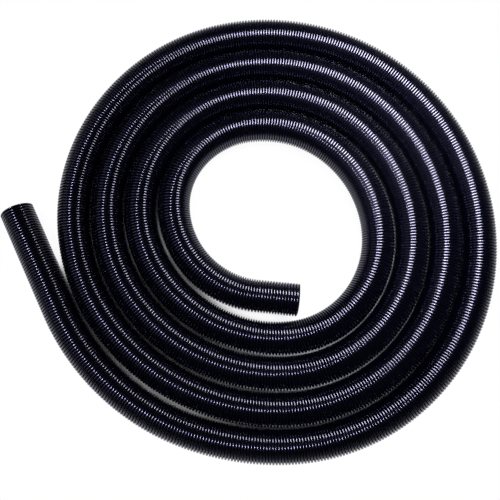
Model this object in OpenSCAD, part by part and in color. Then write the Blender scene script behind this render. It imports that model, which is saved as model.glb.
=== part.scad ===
// A corrugated vacuum hose with two bare cut ends, lying on the floor as a flat coil.
// The hose runs through a chain of legs, and each leg is straight or is an arc of one radius.
// A leg holds two pieces: the smooth liner inside, and the ribbed cover round it.

/* [Hose] */
// Bore of the hose
bore_d = 38.1; // [36:0.1:38.4]
// Thickness of the smooth liner
liner_t = 0.8; // [0.6:0.1:0.9]
// Thickness of the cover at the floor of a groove
cover_t = 0.5; // [0.4:0.1:0.6]
// Height of a rib above the floor of a groove
rib_h = 3.25; // [2.5:0.05:3.3]
// Distance from one rib to the next
rib_pitch = 4.1; // [3.5:0.1:5]
// Share of the pitch that the crest of a rib takes
crest_share = 0.4; // [0.3:0.05:0.5]
// Share of the pitch that the foot of a rib takes
foot_share = 0.7; // [0.6:0.05:0.8]

/* [Coil] */
// Radius that the flatter quarters of the coil grow from
flat_r = 147.5; // [147:0.5:150]
// Growth of the radius with each quarter, on the flatter quarters
flat_step = 11.75; // [11.75:0.05:12.2]
// Radius that the rounder quarters of the coil grow from
round_r = 108.5; // [108:0.5:110]
// Growth of the radius with each quarter, on the rounder quarters
round_step = 12.6; // [12.5:0.05:12.8]

/* [Free ends] */
// Length of the straight inner end
inner_end_l = 58; // [52:1:60]
// Radius of the bend behind the inner end
inner_bend_r = 137; // [134:1:138]
// Angle of the bend behind the inner end
inner_bend = 76.5; // [75:0.5:78]
// Angle of the bend where the outer end swings out of the coil
swing_bend = 27; // [24:0.5:28]
// Angle of the curved stretch between the two outer bends
tail_bend = 23.5; // [20:0.5:24]
// Angle of the bend where the outer end lifts
lift_bend = 21; // [20:0.5:24]
// Length of the straight outer end
outer_end_l = 160; // [120:1:170]

/* [Hidden] */
$fn = 96;
hose_colour = "#15131f";
liner_colour = "#0c0b10";

bore_r = bore_d / 2;
liner_r = bore_r + liner_t;
floor_r = liner_r + cover_t;
crest_r = floor_r + rib_h;

// Gap where an end that moves meets the bend behind it
body_gap = 0.1;

// The cut face of the inner end, and the way the hose leaves it, in degrees from +X
start_x = 73;
start_y = -104.1;
start_heading = 174.5;

// Four quarters make a turn, and flatter and rounder ones follow each other
quarters = 15;
turn_parts = ["upper_left", "upper_right", "lower_right", "lower_left"];

function quarter_r(k) = k % 2 == 0 ? flat_r + k * flat_step : round_r + k * round_step;
function quarter_name(k) = str("turn_", floor((k - 1) / 4) + 1, "_", turn_parts[(k - 1) % 4]);
function straight(name, length) = [name, 0, length];
function arc(name, radius, sweep) = [name, radius, sweep];

// Every leg of the hose, from the inner end to the outer end
tail_r = quarter_r(quarters + 1);
legs = concat(
    [
        straight("inner_end", inner_end_l),
        arc("inner_flex", inner_bend_r, inner_bend)
    ],
    [for (k = [1 : quarters]) arc(quarter_name(k), quarter_r(k), 90)],
    [
        arc("swing_flex", tail_r, swing_bend),
        arc("tail", tail_r, tail_bend),
        arc("lift_flex", tail_r, lift_bend),
        straight("outer_end", outer_end_l)
    ]
);

// The gap lies inside the leg that moves, at its start or at its end
function gap_before(leg) = leg[0] == "tail" || leg[0] == "outer_end" ? body_gap : 0;
function gap_after(leg) = leg[0] == "inner_end" ? body_gap : 0;
function straight_l(leg) = leg[2] - gap_before(leg) - gap_after(leg);

// A place is [x, y, heading]. The hose turns to the right, so the centre of an arc lies on its right
function is_straight(leg) = leg[1] == 0;
function centre_x(place, radius) = place[0] + radius * sin(place[2]);
function centre_y(place, radius) = place[1] - radius * cos(place[2]);
function past_straight(place, length) =
    [place[0] + length * cos(place[2]), place[1] + length * sin(place[2]), place[2]];
function past_arc(place, radius, sweep) =
    let (heading = place[2] - sweep)
    [
        centre_x(place, radius) - radius * sin(heading),
        centre_y(place, radius) + radius * cos(heading),
        heading
    ];
function past(place, leg) =
    is_straight(leg) ? past_straight(place, leg[2]) : past_arc(place, leg[1], leg[2]);
places = [
    for (i = 0, place = [start_x, start_y, start_heading]; i < len(legs); place = past(place, legs[i]), i = i + 1)
        place
];

// Sections of the wall, round the axis of the hose
module ring(outer_r, inner_r) {
    difference() {
        circle(r = outer_r);
        circle(r = inner_r);
    }
}

// The wall of an arc leg: its ring swept about the centre of the arc
module bent_tube(i, outer_r, inner_r) {
    place = places[i];
    radius = legs[i][1];
    sweep = legs[i][2];
    gap_angle = gap_before(legs[i]) / radius * 180 / PI;
    translate([centre_x(place, radius), centre_y(place, radius), crest_r])
        rotate([0, 0, place[2] + 90 - sweep])
            rotate_extrude(angle = sweep - gap_angle, $fn = 240)
                translate([radius, 0])
                    ring(outer_r, inner_r);
}

// Puts a straight leg, drawn along +Z, where it lies
module lay_straight(i) {
    place = places[i];
    translate([place[0], place[1], crest_r])
        rotate([0, 90, place[2]])
            translate([0, 0, gap_before(legs[i])])
                children();
}

// Half section of the cover of a straight leg, with a whole number of ribs
module ribbed_section(length) {
    ribs = round(length / rib_pitch);
    pitch = length / ribs;
    rib_points = [
        for (rib = [0 : ribs - 1])
            let (middle = (rib + 0.5) * pitch, foot = foot_share * pitch / 2, crest = crest_share * pitch / 2)
                each [
                    [floor_r, middle - foot],
                    [crest_r, middle - crest],
                    [crest_r, middle + crest],
                    [floor_r, middle + foot]
                ]
    ];
    polygon(concat([[liner_r, 0], [floor_r, 0]], rib_points, [[floor_r, length], [liner_r, length]]));
}

module straight_liner(length) {
    difference() {
        cylinder(h = length, r = liner_r);
        translate([0, 0, -1]) cylinder(h = length + 2, r = bore_r);
    }
}

// The smooth inner layer of leg i
module liner(i) {
    color(liner_colour)
        if (is_straight(legs[i]))
            lay_straight(i) straight_liner(straight_l(legs[i]));
        else
            bent_tube(i, liner_r, bore_r);
}

// The ribbed outer layer of leg i. On the bends it is the envelope of the ribs
module ribs(i) {
    color(hose_colour)
        if (is_straight(legs[i]))
            lay_straight(i) rotate_extrude() ribbed_section(straight_l(legs[i]));
        else
            bent_tube(i, crest_r, liner_r);
}

for (i = [0 : len(legs) - 1]) {
    liner(i);
    ribs(i);
}
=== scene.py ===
# A corrugated vacuum hose with two bare cut ends, lying on the floor as a flat coil.
# Lengths are in metres and angles in degrees.
import math

import bpy
import numpy as np
from mathutils import Matrix, Vector


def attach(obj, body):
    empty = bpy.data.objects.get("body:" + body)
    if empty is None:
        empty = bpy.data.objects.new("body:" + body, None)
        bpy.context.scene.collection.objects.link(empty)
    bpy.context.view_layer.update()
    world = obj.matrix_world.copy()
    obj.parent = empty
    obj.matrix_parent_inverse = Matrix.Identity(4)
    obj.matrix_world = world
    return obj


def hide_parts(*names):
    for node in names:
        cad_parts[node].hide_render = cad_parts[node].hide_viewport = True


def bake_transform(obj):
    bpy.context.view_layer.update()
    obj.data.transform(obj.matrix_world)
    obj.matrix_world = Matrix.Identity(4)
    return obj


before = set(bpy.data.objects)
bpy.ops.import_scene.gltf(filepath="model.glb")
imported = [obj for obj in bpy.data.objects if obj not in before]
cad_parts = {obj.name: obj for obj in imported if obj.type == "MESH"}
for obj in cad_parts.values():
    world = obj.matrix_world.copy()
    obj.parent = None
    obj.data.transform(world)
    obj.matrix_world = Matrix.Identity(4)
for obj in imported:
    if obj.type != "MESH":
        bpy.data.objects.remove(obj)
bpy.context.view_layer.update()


def toLinear(hexColour):
    # sRGB hex to linear RGBA: c / 12.92 in the darkest part, ((c + 0.055) / 1.055) ^ 2.4 above it
    channels = [int(hexColour[i:i + 2], 16) / 255 for i in (1, 3, 5)]
    return [c / 12.92 if c <= 0.04045 else ((c + 0.055) / 1.055) ** 2.4 for c in channels] + [1.0]


def addNode(tree, kind, settings=None, inputs=None):
    # Adds one node. In inputs, a (node, output) pair makes a link, and anything else is the socket's value.
    # A socket has a number where its name isn't its own: on a colour Mix 0 is the factor, 6 and 7 are the
    # colours and 2 the result, and on a number Mix 2 and 3 are the values
    node = tree.nodes.new(kind)
    for name, value in (settings or {}).items():
        setattr(node, name, value)
    for name, value in (inputs or {}).items():
        if isinstance(value, tuple):
            tree.links.new(value[0].outputs[value[1]], node.inputs[name])
        else:
            node.inputs[name].default_value = value
    return node


def newMaterial(name):
    material = bpy.data.materials.new(name)
    material.use_nodes = True
    material.node_tree.nodes.clear()
    return material


camera = {
    "elevation": 81.18,
    "azimuth": -0.396,
    "roll": -0.17,
    "distance": 0.7485,
    "target": (0.00366, -0.0319, 0.0236),
    "focal": 516.5,  # in pixels
    "pictureWidth": 500,  # in pixels
    "sensorWidth": 36,  # in millimetres
    "clip": (0.01, 60),
}


def placeCamera(values):
    # Looks down at the target from the distance; the roll turns the picture about its middle
    e, a, roll = (math.radians(values[key]) for key in ("elevation", "azimuth", "roll"))
    forward = Vector((math.sin(a) * math.cos(e), math.cos(a) * math.cos(e), -math.sin(e)))
    level = Vector((math.cos(a), -math.sin(a), 0))
    upright = level.cross(forward)
    right = level * math.cos(roll) + upright * math.sin(roll)
    up = right.cross(forward)
    place = Vector(values["target"]) - forward * values["distance"]
    data = bpy.data.cameras.new("viewCamera")
    data.sensor_width = values["sensorWidth"]
    data.lens = values["focal"] / values["pictureWidth"] * data.sensor_width
    data.clip_start, data.clip_end = values["clip"]
    item = bpy.data.objects.new("viewCamera", data)
    bpy.context.scene.collection.objects.link(item)
    turn = Matrix((right, up, -forward)).transposed()
    item.matrix_world = Matrix.Translation(place) @ turn.to_4x4()
    bpy.context.scene.camera = item


placeCamera(camera)
print("camera placed")


hoseRoute = {
    "start": (0.073, -0.1041),  # cut face of the inner end
    "heading": 174.5,
    "innerEnd": 0.058,
    "innerBend": (0.137, 76.5),
    "quarters": 15,
    "flatRadius": (0.1475, 0.01175),  # first value, and growth with each quarter
    "roundRadius": (0.1085, 0.0126),
    "tailBends": (27, 23.5, 21),
    "outerEnd": 0.16,
    # The turns aren't quite round: waves per turn, height, growth per metre of hose, and where the crest lies
    "sway": [(1, 0.00045, 0.0002, -22), (2, 0.00015, 0.00012, -14), (3, 0.0011, 0.00006, -57)],
    "swayStart": (0.24, 0.42),
    "swayEnd": (5.56, 5.74),
}


def layLegs(route):
    # One row per leg: start x, start y, heading, curvature and length. The hose always turns right
    def quarterRadius(k):
        base, growth = route["roundRadius" if k % 2 else "flatRadius"]
        return base + growth * k

    quarters = route["quarters"]
    arcs = [route["innerBend"]] + [(quarterRadius(k), 90) for k in range(1, quarters + 1)]
    arcs += [(quarterRadius(quarters + 1), bend) for bend in route["tailBends"]]
    pieces = [(0, route["innerEnd"])]
    pieces += [(1 / radius, radius * math.radians(bend)) for radius, bend in arcs]
    pieces += [(0, route["outerEnd"])]
    (x, y), heading = route["start"], math.radians(route["heading"])
    rows = []
    for curvature, length in pieces:
        rows.append((x, y, heading, curvature, length))
        if curvature:
            turned = heading - curvature * length
            x += (math.sin(heading) - math.sin(turned)) / curvature
            y += (math.cos(turned) - math.cos(heading)) / curvature
            heading = turned
        else:
            x += length * math.cos(heading)
            y += length * math.sin(heading)
    return np.array(rows)


legs = layLegs(hoseRoute)
legStart = np.concatenate([[0], np.cumsum(legs[:, 4])])
hoseLength = legStart[-1]


def smoothStep(x, low, high):
    # 0 below low, 1 above high, and 3 t^2 - 2 t^3 between them
    t = np.clip((x - low) / (high - low), 0, 1)
    return t * t * (3 - 2 * t)


def onRoute(s):
    # Point and heading at length s: along a straight leg, or round an arc by curvature times length.
    # The coiled part then sways outwards by a sum of height * cos(waves * (azimuth - crest))
    s = np.asarray(s, float)
    leg = np.clip(np.searchsorted(legStart, s, side="right") - 1, 0, len(legs) - 1)
    x, y, heading, curvature, _ = np.moveaxis(legs[leg], -1, 0)
    d = s - legStart[leg]
    turned = heading - curvature * d
    bent = curvature > 0
    safe = np.where(bent, curvature, 1)
    x = x + np.where(bent, (np.sin(heading) - np.sin(turned)) / safe, d * np.cos(heading))
    y = y + np.where(bent, (np.cos(turned) - np.cos(heading)) / safe, d * np.sin(heading))
    azimuth = np.arctan2(y, x)
    sway = sum((height + growth * s) * np.cos(waves * (azimuth - math.radians(crest)))
               for waves, height, growth, crest in hoseRoute["sway"])
    sway = sway * smoothStep(s, *hoseRoute["swayStart"]) * (1 - smoothStep(s, *hoseRoute["swayEnd"]))
    return x - sway * np.sin(turned), y + sway * np.cos(turned), turned


hoseWall = {
    "boreRadius": 0.01905,
    "linerRadius": 0.01985,
    "floorRadius": 0.02035,  # bottom of a groove
    "crestRadius": 0.0236,
    "pitch": 0.0041,
    "sides": 36,
    # Half of one rib, from the groove to the crest: share of the pitch, and share of the height
    "rib": [(0, 0), (0.08, 0.08), (0.16, 0.45), (0.23, 0.85), (0.3, 0.945), (0.39, 0.988), (0.5, 1)],
    "clearOfGrooveShade": 0.9,  # height above which crests stay glossy; grooves below get painted shade
    "boreStep": 0.02,  # between the bore's rings
    "spiralSteps": 4,  # rings per turn of the spiral, near an open end
    "printDepth": 0.00015,  # of the winding's faint spiral in the bore, near an open end
    "printLength": 0.08,  # how far the spiral is drawn; it fades over the second half
    "cutWobble": 0.0003,  # how far a knife strays on a cut end
}


def cutPlace(s, inwards, theta):
    # A cut by hand strays inwards by wobble * (1 - cos(theta)) * (1 + 0.6 cos(3 theta)) / 3
    wobble = hoseWall["cutWobble"] * (1 - np.cos(theta)) * (1 + 0.6 * np.cos(3 * theta)) / 3
    return s + inwards * wobble


def ribbedWall(first, last):
    # Radius = rib height at the phase s / pitch - theta / 360, which winds the ribs as one helix.
    # The grid's rows follow the helix, so a row ends where the next turn's row begins, and rows past a
    # cut are drawn back onto it. Two spare turns past each end make sure of that. first and last hold the
    # place of the cut on each side of the hose
    wall = hoseWall
    sides, pitch = wall["sides"], wall["pitch"]
    rib = wall["rib"] + [(1 - place, height) for place, height in wall["rib"][-2::-1]]
    phases, heights = np.array(rib).T
    column = np.arange(sides)
    theta = 2 * math.pi * column / sides
    turnFirst, turnLast = math.floor(first.min() / pitch) - 2, math.ceil(last.max() / pitch) + 2
    rowTurn = (np.arange(turnFirst, turnLast + 1)[:, None] + phases[:-1]).ravel()
    low = np.searchsorted(rowTurn, first / pitch - column / sides, side="right") - 1
    high = np.searchsorted(rowTurn, last / pitch - column / sides, side="left")
    along = np.clip((rowTurn[:, None] + column / sides) * pitch, first, last)
    height = np.interp((along / pitch - column / sides) % 1, phases, heights)
    radius = wall["floorRadius"] + (wall["crestRadius"] - wall["floorRadius"]) * height

    rowsPerTurn = len(phases) - 1
    rows = np.arange(len(rowTurn) - rowsPerTurn)
    table = np.clip(rows[:, None], low, high) * sides + column
    wrapped = (np.clip(rows + rowsPerTurn, low[0], high[0]) * sides)[:, None]
    table = np.concatenate([table, wrapped], axis=1)
    a, b, c, d = table[:-1, :-1], table[1:, :-1], table[1:, 1:], table[:-1, 1:]
    faces = np.concatenate([np.stack(t, -1).reshape(-1, 3) for t in ((a, d, c), (a, c, b))])
    angle = np.broadcast_to(theta, along.shape)
    return (along, angle, radius), height, faces, low * sides + column, high * sides + column


def boreRings(first, last, openFirst, openLast):
    # Rings along the bore. Near an open end its radius grows by depth * (1 - cos(360 s / pitch - theta)) / 2
    wall = hoseWall
    sides, pitch = wall["sides"], wall["pitch"]
    theta = 2 * math.pi * np.arange(sides) / sides
    start, end = first.max(), last.min()
    stations = np.linspace(start, end, max(2, math.ceil((end - start) / wall["boreStep"]) + 1))
    step = pitch / wall["spiralSteps"]
    fine = np.arange(step, wall["printLength"], step)
    if openFirst:
        stations = np.concatenate([stations, start + fine])
    if openLast:
        stations = np.concatenate([stations, end - fine])
    share = (np.unique(stations)[:, None] - start) / (end - start)
    along = first + share * (last - first)
    fade = np.zeros_like(along)
    if openFirst:
        fade += 1 - smoothStep(along - first, 0.5 * wall["printLength"], wall["printLength"])
    if openLast:
        fade += 1 - smoothStep(last - along, 0.5 * wall["printLength"], wall["printLength"])
    spiral = 0.5 * wall["printDepth"] * (1 - np.cos(2 * math.pi * along / pitch - theta))
    radius = wall["boreRadius"] + fade * spiral
    return along, np.broadcast_to(theta, along.shape), radius


def strip(lower, upper):
    # Two triangles between each pair of neighbours in two closed rings
    nextLower, nextUpper = np.roll(lower, -1, axis=-1), np.roll(upper, -1, axis=-1)
    halves = ((lower, upper, nextUpper), (lower, nextUpper, nextLower))
    return np.concatenate([np.stack(half, -1).reshape(-1, 3) for half in halves])


def hoseShell(name, first, last, openFirst=False, openLast=False):
    # The ribbed wall, the bore, and a ring that closes the wall at each cut. A point at length s lies at
    # radius * (cos theta, sin theta) across the route. Material 0 is a crest, 1 the liner, 2 a cut face and
    # 3 a groove, which is made darker and duller than a crest as painted shade between the ribs
    wall = hoseWall
    sides = wall["sides"]
    theta = 2 * math.pi * np.arange(sides) / sides
    firstCut = cutPlace(first, 1 if openFirst else 0, theta)
    lastCut = cutPlace(last, -1 if openLast else 0, theta)
    outer, ribHeight, outerFaces, ringFirst, ringLast = ribbedWall(firstCut, lastCut)
    bore = boreRings(firstCut, lastCut, openFirst, openLast)
    liner = [(cut, theta, np.full(sides, wall["linerRadius"])) for cut in (firstCut, lastCut)]

    count = outer[0].size
    boreTable = count + np.arange(bore[0].size).reshape(-1, sides)
    linerFirst = count + bore[0].size + np.arange(sides)
    linerLast = linerFirst + sides
    # Faces below the crests get the groove material, which paints shade between the ribs
    clearOfGrooveShade = ribHeight.ravel()[outerFaces].max(axis=1) > wall["clearOfGrooveShade"]
    parts = [
        (outerFaces[clearOfGrooveShade], 0), (outerFaces[~clearOfGrooveShade], 3), (strip(boreTable[:-1], boreTable[1:]), 1),
        (strip(linerFirst, boreTable[0]), 1), (strip(boreTable[-1], linerLast), 1),
        (strip(ringFirst, linerFirst), 2), (strip(linerLast, ringLast), 2),
    ]
    faces = np.concatenate([part for part, _ in parts])
    slots = np.concatenate([np.full(len(part), slot) for part, slot in parts])
    real = (faces[:, 0] != faces[:, 1]) & (faces[:, 1] != faces[:, 2]) & (faces[:, 2] != faces[:, 0])
    faces, slots = faces[real], slots[real]
    values = [np.concatenate([array.ravel() for array in arrays]) for arrays in zip(outer, bore, *liner)]
    rim = np.zeros(len(values[0]), bool)
    rim[np.concatenate([ringFirst, ringLast, boreTable[0], boreTable[-1]])] = True
    used, faces = np.unique(faces, return_inverse=True)
    faces = faces.reshape(-1, 3)
    along, angle, radius, rim = (array[used] for array in values + [rim])

    x, y, heading = onRoute(along)
    side, rise = radius * np.cos(angle), radius * np.sin(angle)
    x, y, z = x - side * np.sin(heading), y + side * np.cos(heading), wall["crestRadius"] + rise
    mesh = bpy.data.meshes.new(name)
    mesh.from_pydata(np.stack([x, y, z], -1), [], faces)
    mesh.polygons.foreach_set("material_index", slots)
    mesh.polygons.foreach_set("use_smooth", np.ones(len(faces), bool))
    edges = np.empty(2 * len(mesh.edges), int)
    mesh.edges.foreach_get("vertices", edges)
    sharp = mesh.attributes.new("sharp_edge", "BOOLEAN", "EDGE")
    sharp.data.foreach_set("value", rim[edges.reshape(-1, 2)].all(axis=1))
    straight = mesh.attributes.new("straightHose", "FLOAT_VECTOR", "POINT")
    straight.data.foreach_set("vector", np.stack([along, side, rise], -1).ravel())
    item = bpy.data.objects.new(name, mesh)
    bpy.context.scene.collection.objects.link(item)
    return item


woundEva = {
    "colours": ("#01010a", "#02020e"),
    "roughness": (0.13, 0.19),
    "tint": "#dad7fb",
    "ior": 1.65,
    "specularLevel": 0.95,
    "lump": 0.007,  # the size of the unevenness that moulding leaves
    "lumpDepth": 0.00003,
    "scuff": 0.0015,
    "scuffRange": (0.35, 0.7),  # noise where the gloss is best and worst
}


def makeWoundEva(values):
    # EVA, extruded hot, wound and rolled: black, with a cool gloss on the crests that the soft surface breaks
    # up a little
    material = newMaterial("glossyWoundEva")
    tree = material.node_tree
    place = addNode(tree, "ShaderNodeAttribute", {"attribute_name": "straightHose"})
    scuffs = addNode(tree, "ShaderNodeTexNoise", inputs={
        "Vector": (place, "Vector"), "Scale": 1 / values["scuff"], "Detail": 4.0})
    lumps = addNode(tree, "ShaderNodeTexNoise", inputs={
        "Vector": (place, "Vector"), "Scale": 1 / values["lump"], "Detail": 1.0})
    least, most = values["scuffRange"]
    low, high = values["roughness"]
    roughness = addNode(tree, "ShaderNodeMapRange", inputs={
        "Value": (scuffs, "Fac"), "From Min": least, "From Max": most, "To Min": low, "To Max": high})
    deep, light = values["colours"]
    colour = addNode(tree, "ShaderNodeMix", {"data_type": "RGBA"}, {
        0: (lumps, "Fac"), 6: toLinear(deep), 7: toLinear(light)})
    bump = addNode(tree, "ShaderNodeBump", inputs={
        "Height": (lumps, "Fac"), "Distance": values["lumpDepth"], "Strength": 1.0})
    shader = addNode(tree, "ShaderNodeBsdfPrincipled", inputs={
        "Base Color": (colour, 2),
        "Roughness": (roughness, "Result"),
        "Normal": (bump, "Normal"),
        "IOR": values["ior"],
        "Specular IOR Level": values["specularLevel"],
        "Specular Tint": toLinear(values["tint"]),
    })
    addNode(tree, "ShaderNodeOutputMaterial", inputs={"Surface": (shader, "BSDF")})
    return material


# Painted shade: the grooves' darker colours and low specular level stand in for the shade between the ribs
grooveShadeEva = {
    "colours": ("#010104", "#020207"),
    "roughness": (0.4, 0.55),
    "ior": 1.5,
    "specularLevel": 0.15,
    "grain": 0.0008,  # of the die, drawn twice as coarse as it is
    "grainRange": (0.3, 0.7),  # noise where the gloss is best and worst
}


def makeGrooveShadeEva(values):
    # EVA in the grooves, painted darker and duller than on the crests: the colour and the weak reflection are
    # painted shade for the shade that falls between the ribs
    material = newMaterial("paintedShadeGrooveEva")
    tree = material.node_tree
    place = addNode(tree, "ShaderNodeAttribute", {"attribute_name": "straightHose"})
    grain = addNode(tree, "ShaderNodeTexNoise", inputs={
        "Vector": (place, "Vector"), "Scale": 1 / values["grain"], "Detail": 2.0})
    least, most = values["grainRange"]
    low, high = values["roughness"]
    roughness = addNode(tree, "ShaderNodeMapRange", inputs={
        "Value": (grain, "Fac"), "From Min": least, "From Max": most, "To Min": low, "To Max": high})
    deep, light = values["colours"]
    colour = addNode(tree, "ShaderNodeMix", {"data_type": "RGBA"}, {
        0: (grain, "Fac"), 6: toLinear(deep), 7: toLinear(light)})
    shader = addNode(tree, "ShaderNodeBsdfPrincipled", inputs={
        "Base Color": (colour, 2), "Roughness": (roughness, "Result"), "IOR": values["ior"],
        "Specular IOR Level": values["specularLevel"]})
    addNode(tree, "ShaderNodeOutputMaterial", inputs={"Surface": (shader, "BSDF")})
    return material


linerEva = {
    "colour": "#0a0a0d",
    "roughness": (0.38, 0.5),
    "streak": (0.03, 0.0015),  # length and width of the marks that the mandrel leaves
    "streakRange": (0.3, 0.7),  # noise where the gloss is best and worst
    "ior": 1.5,
}


def makeLinerEva(values):
    # EVA, wound on a steel mandrel: dull black, with faint streaks along the hose where the mandrel drew out
    material = newMaterial("dullMandrelEva")
    tree = material.node_tree
    place = addNode(tree, "ShaderNodeAttribute", {"attribute_name": "straightHose"})
    length, width = values["streak"]
    drawn = addNode(tree, "ShaderNodeMapping", inputs={
        "Vector": (place, "Vector"), "Scale": [1 / length, 1 / width, 1 / width]})
    streaks = addNode(tree, "ShaderNodeTexNoise", inputs={
        "Vector": (drawn, "Vector"), "Scale": 1.0, "Detail": 2.0})
    least, most = values["streakRange"]
    low, high = values["roughness"]
    roughness = addNode(tree, "ShaderNodeMapRange", inputs={
        "Value": (streaks, "Fac"), "From Min": least, "From Max": most, "To Min": low, "To Max": high})
    shader = addNode(tree, "ShaderNodeBsdfPrincipled", inputs={
        "Base Color": toLinear(values["colour"]), "Roughness": (roughness, "Result"), "IOR": values["ior"]})
    addNode(tree, "ShaderNodeOutputMaterial", inputs={"Surface": (shader, "BSDF")})
    return material


cutEva = {
    "colour": "#131317",
    "roughness": 0.62,
    "ior": 1.5,
    "drag": (0.0004, 0.006),  # width and length of the marks of the knife
    "dragDepth": 0.00004,
}


def makeCutEva(values):
    # EVA, sliced with a knife: a paler, dull face with fine drag marks
    material = newMaterial("knifeCutEva")
    tree = material.node_tree
    place = addNode(tree, "ShaderNodeAttribute", {"attribute_name": "straightHose"})
    width, length = values["drag"]
    drawn = addNode(tree, "ShaderNodeMapping", inputs={
        "Vector": (place, "Vector"), "Scale": [1 / length, 1 / length, 1 / width]})
    marks = addNode(tree, "ShaderNodeTexNoise", inputs={
        "Vector": (drawn, "Vector"), "Scale": 1.0, "Detail": 3.0})
    bump = addNode(tree, "ShaderNodeBump", inputs={"Height": (marks, "Fac"), "Distance": values["dragDepth"]})
    shader = addNode(tree, "ShaderNodeBsdfPrincipled", inputs={
        "Base Color": toLinear(values["colour"]), "Roughness": values["roughness"], "IOR": values["ior"],
        "Normal": (bump, "Normal")})
    addNode(tree, "ShaderNodeOutputMaterial", inputs={"Surface": (shader, "BSDF")})
    return material


hoseMaterials = [makeWoundEva(woundEva), makeLinerEva(linerEva), makeCutEva(cutEva), makeGrooveShadeEva(grooveShadeEva)]
print("materials made")


centreHeight = hoseWall["crestRadius"]
quarterCount = hoseRoute["quarters"]
turnParts = ["upper_left", "upper_right", "lower_right", "lower_left"]
quarterNames = [f"turn_{k // 4 + 1}_{turnParts[k % 4]}" for k in range(quarterCount)]
legNames = ["inner_end", "inner_flex"] + quarterNames + ["swing_flex", "tail", "lift_flex", "outer_end"]
legEnd = dict(zip(legNames, legStart[1:]))

hoseSeams = {
    # How far these seams lie from the end of a leg, so that they keep clear of the stretches that bend
    "pastInnerBend": 0.045,
    "beforeTailSwing": 0.03,
    "beforeEndLift": 0.02,
    "pathStep": 0.02,  # between the points of each piece's path
    "fewestPoints": 20,
}

# Each piece: its name, where it ends, and the legs that it stands for
hosePieces = [
    ("hose_inner_end", legEnd["inner_flex"] + hoseSeams["pastInnerBend"], ["inner_end", "inner_flex"]),
]
for pair in range(0, quarterCount, 2):
    covered = quarterNames[pair:pair + 2]
    part = covered[0].rsplit("_", 1)[0]
    hosePieces.append((f"hose_{part}", legEnd[covered[-1]], covered))
name, last, covered = hosePieces[-1]
hosePieces[-1] = (name, last - hoseSeams["beforeTailSwing"], covered)
hosePieces += [
    ("hose_tail", legEnd["tail"] - hoseSeams["beforeEndLift"], ["swing_flex", "tail"]),
    ("hose_outer_end", hoseLength, ["lift_flex", "outer_end"]),
]

# Pieces that cross a joint: the two bodies, the first and last leg end, and how far inside them
hoseBends = {
    "hose_inner_end": ("coil", "inner_end", "inner_flex", "inner_end", 0.015),
    "hose_tail": ("coil", "tail", quarterNames[-1], "swing_flex", 0.006),
    "hose_outer_end": ("tail", "outer_end", "tail", "lift_flex", 0.005),
}


def bendPiece(item, bodyA, bodyB, legA, legB, inset):
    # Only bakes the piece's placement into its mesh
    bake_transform(item)


first = 0.0
for name, last, covered in hosePieces:
    item = hoseShell(name, first, last, openFirst=first == 0, openLast=last == hoseLength)
    for material in hoseMaterials:
        item.data.materials.append(material)
    if name in hoseBends:
        bendPiece(item, *hoseBends[name])
    else:
        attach(item, "coil")
    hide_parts(*[f"{layer}_{leg}" for leg in covered for layer in ("liner", "ribs")])
    pathPoints = max(hoseSeams["fewestPoints"], round((last - first) / hoseSeams["pathStep"]))
    x, y, _ = onRoute(np.linspace(first, last, pathPoints))
    path = [(float(px), float(py), centreHeight) for px, py in zip(x, y)]
    if first == 0:
        path.reverse()
    print(name, len(item.data.polygons), "triangles")
    first = last


studio = {
    "floorSize": 60,
    "floorColour": "#f4f4f4",
    # Shade of the floor by how open it is: reach, samples, and the open share from dark to clear
    "contactShade": (0.03, 32, 0.14, 0.22),
    "softShade": (0.3, 0.75, 0.94),  # open share from soft to clear, and how light the soft shade is
    "horizonGlow": 1.0,
    "horizonFade": (0.0, 0.1),  # rise of the view, from white to dark
    "worldColour": "#dcdcff",
    "worldStrength": 0.01,
}

# Each lamp: place, the point that it faces, diameter, power, the angle that it spreads over, and colour
studioLamps = {
    "nearLamp": ((0.222, 0.267, 0.475), (0.4, 0.15, 0.04), 0.3, 5.9, 155, "#ffffff"),
    "farLamp": ((-1.62, -0.3, 5.8), (0, 0, 0), 1.0, 190, 180, "#ebebff"),
    "sideLamp": ((-4.39, -0.04, 4.09), (0, 0, 0), 3.2, 24, 180, "#d9d9ff"),
}


def backgroundRays(tree):
    # Links that say what looks at the background: the camera, and whatever mirrors or refracts it
    rays = addNode(tree, "ShaderNodeLightPath")
    mirrored = addNode(tree, "ShaderNodeMath", {"operation": "MAXIMUM"}, {
        0: (rays, "Is Glossy Ray"), 1: (rays, "Is Transmission Ray")})
    return (rays, "Is Camera Ray"), (mirrored, 0)


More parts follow.
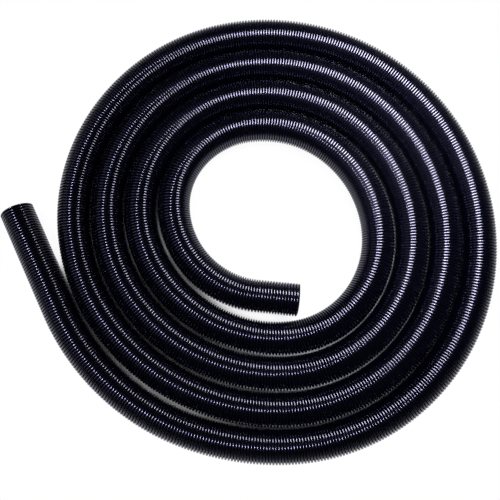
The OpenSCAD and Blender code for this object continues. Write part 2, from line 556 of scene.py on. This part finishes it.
def makeFloor(values):
    # A pale matt sheet that glows white to the eye and in reflections, except close to what stands on it
    half = values["floorSize"] / 2
    mesh = bpy.data.meshes.new("floor")
    corners = [(-half, -half, 0), (half, -half, 0), (half, half, 0), (-half, half, 0)]
    mesh.from_pydata(corners, [], [(0, 1, 2, 3)])
    item = bpy.data.objects.new("floor", mesh)
    bpy.context.scene.collection.objects.link(item)
    material = newMaterial("paleFloor")
    tree = material.node_tree
    reach, samples, dark, bright = values["contactShade"]
    openness = addNode(tree, "ShaderNodeAmbientOcclusion", {"samples": samples}, {"Distance": reach})
    contact = addNode(tree, "ShaderNodeMapRange", {"interpolation_type": "SMOOTHSTEP"}, {
        "Value": (openness, "AO"), "From Min": dark, "From Max": bright})
    dark, bright, lightness = values["softShade"]
    soft = addNode(tree, "ShaderNodeMapRange", inputs={
        "Value": (openness, "AO"), "From Min": dark, "From Max": bright, "To Min": lightness, "To Max": 1.0})
    shaded = addNode(tree, "ShaderNodeMath", {"operation": "MULTIPLY"}, {0: (contact, 0), 1: (soft, 0)})
    seen, mirrored = backgroundRays(tree)
    looked = addNode(tree, "ShaderNodeMath", {"operation": "MAXIMUM"}, {0: seen, 1: mirrored})
    share = addNode(tree, "ShaderNodeMath", {"operation": "MULTIPLY"}, {0: (shaded, 0), 1: (looked, 0)})
    matt = addNode(tree, "ShaderNodeBsdfDiffuse", inputs={"Color": toLinear(values["floorColour"])})
    white = addNode(tree, "ShaderNodeEmission", inputs={"Color": [1, 1, 1, 1], "Strength": 1.0})
    mix = addNode(tree, "ShaderNodeMixShader", inputs={0: (share, 0), 1: (matt, 0), 2: (white, 0)})
    addNode(tree, "ShaderNodeOutputMaterial", inputs={"Surface": (mix, 0)})
    mesh.materials.append(material)


def addLamp(name, place, aim, size, power, spread, colour):
    data = bpy.data.lights.new(name, "AREA")
    data.energy = power
    data.color = toLinear(colour)[:3]
    data.shape = "DISK"
    data.size = size
    data.spread = math.radians(spread)
    item = bpy.data.objects.new(name, data)
    bpy.context.scene.collection.objects.link(item)
    item.location = place
    item.rotation_mode = "QUATERNION"
    item.rotation_quaternion = (Vector(aim) - Vector(place)).to_track_quat("-Z", "Y")


def makeWorld(values):
    # White to the eye. Mirrored in the object it is white at the horizon and dark overhead, and as light on
    # the object it is faint and even
    world = bpy.data.worlds.new("studio")
    world.use_nodes = True
    tree = world.node_tree
    tree.nodes.clear()
    direction = addNode(tree, "ShaderNodeTexCoord")
    height = addNode(tree, "ShaderNodeSeparateXYZ", inputs={0: (direction, "Generated")})
    low, high = values["horizonFade"]
    fade = addNode(tree, "ShaderNodeMapRange", {"interpolation_type": "SMOOTHSTEP"}, {
        "Value": (height, "Z"), "From Min": low, "From Max": high,
        "To Min": values["horizonGlow"], "To Max": values["worldStrength"]})
    seen, mirrored = backgroundRays(tree)
    strength = addNode(tree, "ShaderNodeMix", inputs={
        0: mirrored, 2: values["worldStrength"], 3: (fade, "Result")})
    colour = addNode(tree, "ShaderNodeMix", {"data_type": "RGBA"}, {
        0: mirrored, 6: toLinear(values["worldColour"]), 7: [1, 1, 1, 1]})
    backdrop = addNode(tree, "ShaderNodeBackground", inputs={"Color": (colour, 2), "Strength": (strength, 0)})
    white = addNode(tree, "ShaderNodeBackground", inputs={"Color": [1, 1, 1, 1], "Strength": 1.0})
    mix = addNode(tree, "ShaderNodeMixShader", inputs={0: seen, 1: (backdrop, 0), 2: (white, 0)})
    addNode(tree, "ShaderNodeOutputWorld", inputs={"Surface": (mix, 0)})
    bpy.context.scene.world = world


makeFloor(studio)
makeWorld(studio)
for name, settings in studioLamps.items():
    addLamp(name, *settings)
bpy.context.scene.view_settings.view_transform = "Standard"
print("studio set")
